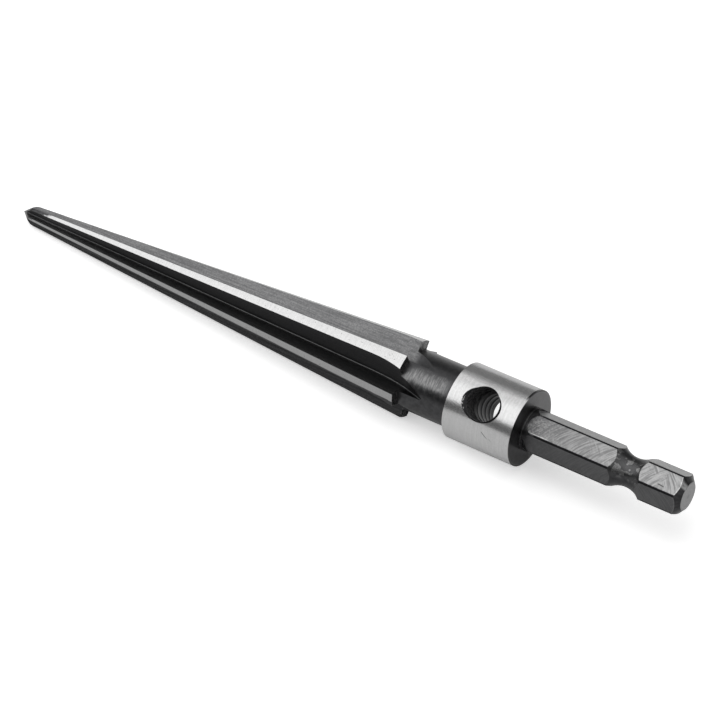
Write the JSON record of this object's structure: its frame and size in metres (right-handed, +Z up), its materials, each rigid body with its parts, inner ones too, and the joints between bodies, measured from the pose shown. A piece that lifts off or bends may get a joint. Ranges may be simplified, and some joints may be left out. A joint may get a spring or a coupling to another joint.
{
  "type": "tapered hand reamer",
  "caption": "Tapered hand reamer with straight flutes, a ground collar with a threaded cross hole for a turning bar, and a hexagon bit shank.",
  "frame": {"origin": "centre of the bounding box's bottom face, on the surface that the tool lies on", "axes": "+X along the tool from the point to the shank, +Z up from the surface; the tool's own axis rises 3.26 degrees from the point towards the shank"},
  "size_m": [0.1316, 0.0132, 0.0139],
  "materials": {
    "tool_steel": "blackened tool steel, with the lands and the outside of the collar ground bright"
  },
  "bodies": {
    "root": {"reamer_body": "tool_steel"}
  },
  "joints": []
}
